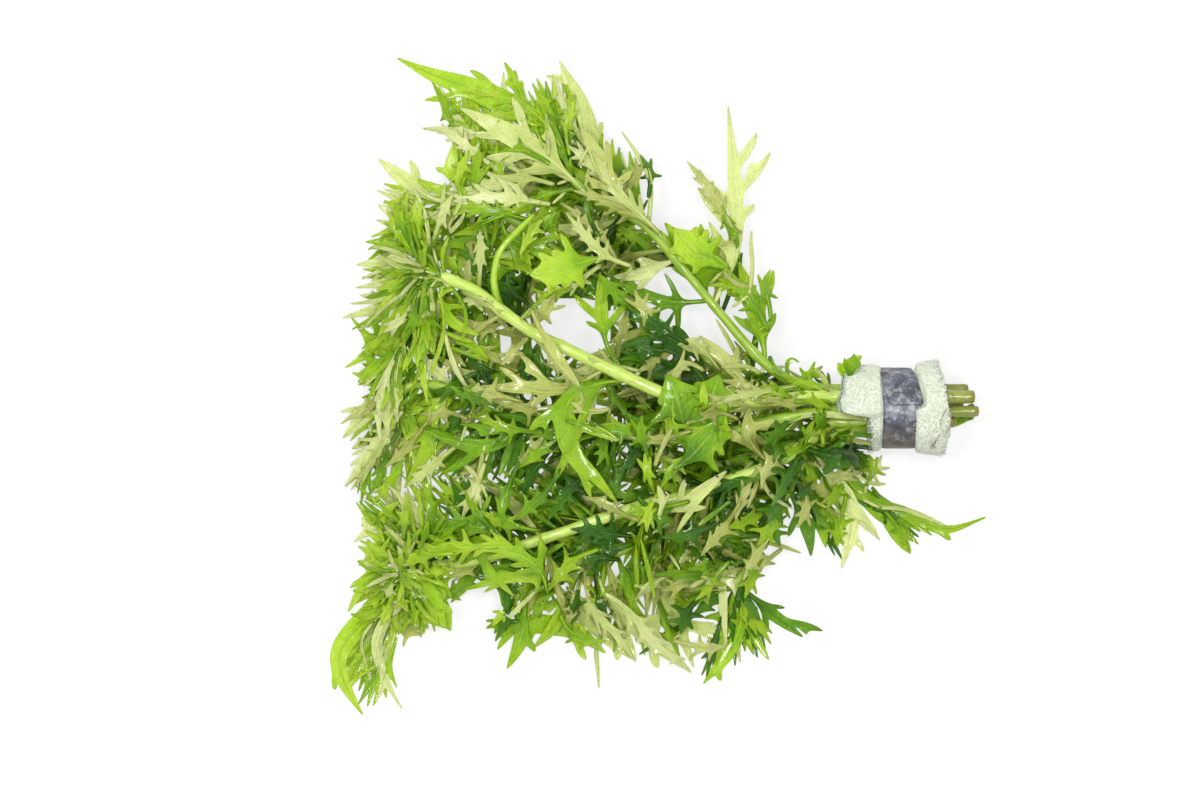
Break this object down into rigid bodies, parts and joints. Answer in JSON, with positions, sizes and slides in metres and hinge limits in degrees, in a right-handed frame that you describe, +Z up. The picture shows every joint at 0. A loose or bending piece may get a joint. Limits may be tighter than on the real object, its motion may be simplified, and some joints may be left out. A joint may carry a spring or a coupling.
{
  "type": "cut water wisteria bunch",
  "caption": "Cut water wisteria stems lying fanned out, with deeply lobed leaves, gathered in a white foam wrap held by a bent lead strip.",
  "frame": {"origin": "on the surface that the bunch lies on, under the middle of its box", "axes": "+X from the leaf tips to the cut stem ends, +Y to the left of that, +Z up from the surface"},
  "size_m": [0.2192, 0.219, 0.0336],
  "materials": {
    "foam": "matte",
    "lead": "satin",
    "stem_green": "satin",
    "leaf_bright": "gloss",
    "leaf_green": "gloss",
    "leaf_dark": "gloss",
    "leaf_pale": "satin",
    "leaf_olive": "satin"
  },
  "bodies": {
    "root": {"foam_wrap": "foam", "lead_strip": "lead", "leaf_brow_olive": "leaf_olive", "leaf_corner_end": "leaf_bright", "leaf_corner_left": "leaf_bright", "leaf_corner_pale": "leaf_pale", "leaf_corner_point": "leaf_bright", "leaf_crown_long": "leaf_bright", "leaf_crown_pale": "leaf_pale", "leaf_crown_tip": "leaf_green", "leaf_crown_wide": "leaf_pale", "leaf_edge_bright": "leaf_bright", "leaf_edge_high": "leaf_bright", "leaf_edge_low": "leaf_pale", "leaf_edge_reach": "leaf_pale", "leaf_foot_bright": "leaf_bright", "leaf_foot_grey": "leaf_pale", "leaf_foot_right": "leaf_dark", "leaf_foot_slim": "leaf_pale", "leaf_foot_spread": "leaf_bright", "leaf_foot_wide": "leaf_pale", "leaf_high_broad": "leaf_bright", "leaf_high_green": "leaf_bright", "leaf_high_ladder": "leaf_pale", "leaf_inner_antler": "leaf_olive", "leaf_inner_arch": "leaf_green", "leaf_inner_comb": "leaf_pale", "leaf_inner_cream": "leaf_olive", "leaf_inner_dark": "leaf_dark", "leaf_inner_long": "leaf_green", "leaf_inner_star": "leaf_dark", "leaf_inner_upright": "leaf_green", "leaf_low_fan": "leaf_green", "leaf_low_hanging": "leaf_dark", "leaf_low_long": "leaf_bright", "leaf_low_streak": "leaf_pale", "leaf_mid_bone": "leaf_olive", "leaf_mid_glossy": "leaf_bright", "leaf_mid_great": "leaf_green", "leaf_mid_left": "leaf_green", "leaf_right_bright": "leaf_bright", "leaf_right_far": "leaf_green", "leaf_right_pale": "leaf_pale", "leaf_side_drop": "leaf_green", "leaf_side_feather": "leaf_olive", "leaf_side_pale": "leaf_pale", "leaf_side_slim": "leaf_pale", "leaf_tip_fold": "leaf_bright", "leaf_tip_long": "leaf_bright", "leaf_top_fork": "leaf_pale", "leaf_top_grey": "leaf_pale", "leaf_top_left": "leaf_bright", "stem_back": "stem_green", "stem_inner": "stem_green", "stem_low_left": "stem_green", "stem_low_right": "stem_green", "stem_lower": "stem_green", "stem_middle": "stem_green", "stem_upper": "stem_green"}
  },
  "joints": []
}
